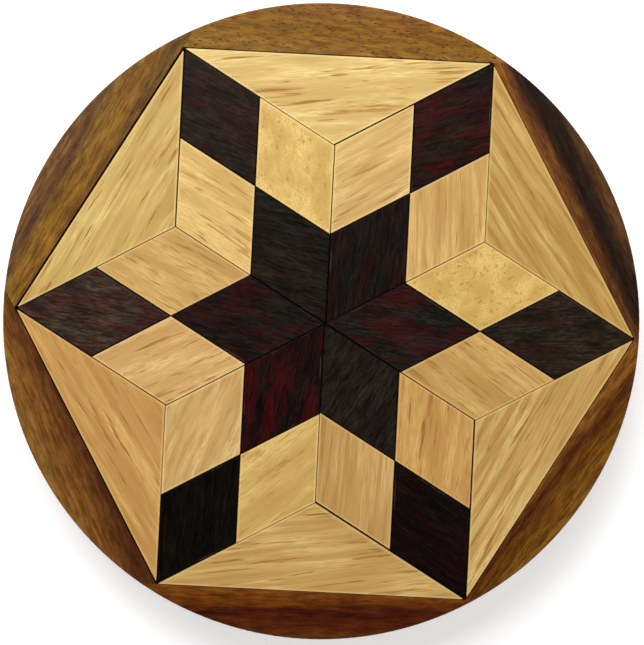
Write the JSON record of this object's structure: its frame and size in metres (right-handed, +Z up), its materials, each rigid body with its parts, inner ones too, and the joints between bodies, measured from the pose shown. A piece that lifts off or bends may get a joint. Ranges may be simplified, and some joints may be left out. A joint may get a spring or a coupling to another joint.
{
  "type": "star tray puzzle",
  "caption": "Round wooden tray with a hexagonal recess filled by loose rhombus and triangle tiles that make a six-pointed star.",
  "frame": {"origin": "centre of the tray's underside, where the upright axis of its round outline meets the surface it stands on", "axes": "+Z up through the tiles, square to the tray; +X from the centre towards the corner of the hexagonal recess where arm 1 of the star ends"},
  "size_m": [0.15, 0.15, 0.018],
  "materials": {
    "light_wood": "light yellow hardwood with short brown pore lines, thin satin lacquer",
    "dark_wood": "near-black hardwood with red-brown streaks, thin satin lacquer",
    "rim_wood": "brown hardwood with dark figure and open pores, thin satin lacquer",
    "base_wood": "brown hardwood board, sanded and thinly lacquered"
  },
  "bodies": {
    "tray": {"base_disc": "base_wood", "rim_segment_1": "rim_wood", "rim_segment_2": "rim_wood", "rim_segment_3": "rim_wood", "rim_segment_4": "rim_wood", "rim_segment_5": "rim_wood", "rim_segment_6": "rim_wood"},
    "inner_dark_tile_1": {"inner_dark_tile_1": "dark_wood"},
    "right_light_tile_1": {"right_light_tile_1": "light_wood"},
    "left_light_tile_1": {"left_light_tile_1": "light_wood"},
    "outer_dark_tile_1": {"outer_dark_tile_1": "dark_wood"},
    "edge_triangle_1": {"edge_triangle_1": "light_wood"},
    "inner_dark_tile_2": {"inner_dark_tile_2": "dark_wood"},
    "right_light_tile_2": {"right_light_tile_2": "light_wood"},
    "left_light_tile_2": {"left_light_tile_2": "light_wood"},
    "outer_dark_tile_2": {"outer_dark_tile_2": "dark_wood"},
    "edge_triangle_2": {"edge_triangle_2": "light_wood"},
    "inner_dark_tile_3": {"inner_dark_tile_3": "dark_wood"},
    "right_light_tile_3": {"right_light_tile_3": "light_wood"},
    "left_light_tile_3": {"left_light_tile_3": "light_wood"},
    "outer_dark_tile_3": {"outer_dark_tile_3": "dark_wood"},
    "edge_triangle_3": {"edge_triangle_3": "light_wood"},
    "inner_dark_tile_4": {"inner_dark_tile_4": "dark_wood"},
    "right_light_tile_4": {"right_light_tile_4": "light_wood"},
    "left_light_tile_4": {"left_light_tile_4": "light_wood"},
    "outer_dark_tile_4": {"outer_dark_tile_4": "dark_wood"},
    "edge_triangle_4": {"edge_triangle_4": "light_wood"},
    "inner_dark_tile_5": {"inner_dark_tile_5": "dark_wood"},
    "right_light_tile_5": {"right_light_tile_5": "light_wood"},
    "left_light_tile_5": {"left_light_tile_5": "light_wood"},
    "outer_dark_tile_5": {"outer_dark_tile_5": "dark_wood"},
    "edge_triangle_5": {"edge_triangle_5": "light_wood"},
    "inner_dark_tile_6": {"inner_dark_tile_6": "dark_wood"},
    "right_light_tile_6": {"right_light_tile_6": "light_wood"},
    "left_light_tile_6": {"left_light_tile_6": "light_wood"},
    "outer_dark_tile_6": {"outer_dark_tile_6": "dark_wood"},
    "edge_triangle_6": {"edge_triangle_6": "light_wood"}
  },
  "joints": [
    {"name": "inner_dark_tile_1_lift", "type": "slide", "parent": "tray", "child": "inner_dark_tile_1", "axis": [0, 0, 1], "range_m": [0, 0.03]},
    {"name": "right_light_tile_1_lift", "type": "slide", "parent": "tray", "child": "right_light_tile_1", "axis": [0, 0, 1], "range_m": [0, 0.03]},
    {"name": "left_light_tile_1_lift", "type": "slide", "parent": "tray", "child": "left_light_tile_1", "axis": [0, 0, 1], "range_m": [0, 0.03]},
    {"name": "outer_dark_tile_1_lift", "type": "slide", "parent": "tray", "child": "outer_dark_tile_1", "axis": [0, 0, 1], "range_m": [0, 0.03]},
    {"name": "edge_triangle_1_lift", "type": "slide", "parent": "tray", "child": "edge_triangle_1", "axis": [0, 0, 1], "range_m": [0, 0.03]},
    {"name": "inner_dark_tile_2_lift", "type": "slide", "parent": "tray", "child": "inner_dark_tile_2", "axis": [0, 0, 1], "range_m": [0, 0.03]},
    {"name": "right_light_tile_2_lift", "type": "slide", "parent": "tray", "child": "right_light_tile_2", "axis": [0, 0, 1], "range_m": [0, 0.03]},
    {"name": "left_light_tile_2_lift", "type": "slide", "parent": "tray", "child": "left_light_tile_2", "axis": [0, 0, 1], "range_m": [0, 0.03]},
    {"name": "outer_dark_tile_2_lift", "type": "slide", "parent": "tray", "child": "outer_dark_tile_2", "axis": [0, 0, 1], "range_m": [0, 0.03]},
    {"name": "edge_triangle_2_lift", "type": "slide", "parent": "tray", "child": "edge_triangle_2", "axis": [0, 0, 1], "range_m": [0, 0.03]},
    {"name": "inner_dark_tile_3_lift", "type": "slide", "parent": "tray", "child": "inner_dark_tile_3", "axis": [0, 0, 1], "range_m": [0, 0.03]},
    {"name": "right_light_tile_3_lift", "type": "slide", "parent": "tray", "child": "right_light_tile_3", "axis": [0, 0, 1], "range_m": [0, 0.03]},
    {"name": "left_light_tile_3_lift", "type": "slide", "parent": "tray", "child": "left_light_tile_3", "axis": [0, 0, 1], "range_m": [0, 0.03]},
    {"name": "outer_dark_tile_3_lift", "type": "slide", "parent": "tray", "child": "outer_dark_tile_3", "axis": [0, 0, 1], "range_m": [0, 0.03]},
    {"name": "edge_triangle_3_lift", "type": "slide", "parent": "tray", "child": "edge_triangle_3", "axis": [0, 0, 1], "range_m": [0, 0.03]},
    {"name": "inner_dark_tile_4_lift", "type": "slide", "parent": "tray", "child": "inner_dark_tile_4", "axis": [0, 0, 1], "range_m": [0, 0.03]},
    {"name": "right_light_tile_4_lift", "type": "slide", "parent": "tray", "child": "right_light_tile_4", "axis": [0, 0, 1], "range_m": [0, 0.03]},
    {"name": "left_light_tile_4_lift", "type": "slide", "parent": "tray", "child": "left_light_tile_4", "axis": [0, 0, 1], "range_m": [0, 0.03]},
    {"name": "outer_dark_tile_4_lift", "type": "slide", "parent": "tray", "child": "outer_dark_tile_4", "axis": [0, 0, 1], "range_m": [0, 0.03]},
    {"name": "edge_triangle_4_lift", "type": "slide", "parent": "tray", "child": "edge_triangle_4", "axis": [0, 0, 1], "range_m": [0, 0.03]},
    {"name": "inner_dark_tile_5_lift", "type": "slide", "parent": "tray", "child": "inner_dark_tile_5", "axis": [0, 0, 1], "range_m": [0, 0.03]},
    {"name": "right_light_tile_5_lift", "type": "slide", "parent": "tray", "child": "right_light_tile_5", "axis": [0, 0, 1], "range_m": [0, 0.03]},
    {"name": "left_light_tile_5_lift", "type": "slide", "parent": "tray", "child": "left_light_tile_5", "axis": [0, 0, 1], "range_m": [0, 0.03]},
    {"name": "outer_dark_tile_5_lift", "type": "slide", "parent": "tray", "child": "outer_dark_tile_5", "axis": [0, 0, 1], "range_m": [0, 0.03]},
    {"name": "edge_triangle_5_lift", "type": "slide", "parent": "tray", "child": "edge_triangle_5", "axis": [0, 0, 1], "range_m": [0, 0.03]},
    {"name": "inner_dark_tile_6_lift", "type": "slide", "parent": "tray", "child": "inner_dark_tile_6", "axis": [0, 0, 1], "range_m": [0, 0.03]},
    {"name": "right_light_tile_6_lift", "type": "slide", "parent": "tray", "child": "right_light_tile_6", "axis": [0, 0, 1], "range_m": [0, 0.03]},
    {"name": "left_light_tile_6_lift", "type": "slide", "parent": "tray", "child": "left_light_tile_6", "axis": [0, 0, 1], "range_m": [0, 0.03]},
    {"name": "outer_dark_tile_6_lift", "type": "slide", "parent": "tray", "child": "outer_dark_tile_6", "axis": [0, 0, 1], "range_m": [0, 0.03]},
    {"name": "edge_triangle_6_lift", "type": "slide", "parent": "tray", "child": "edge_triangle_6", "axis": [0, 0, 1], "range_m": [0, 0.03]}
  ]
}
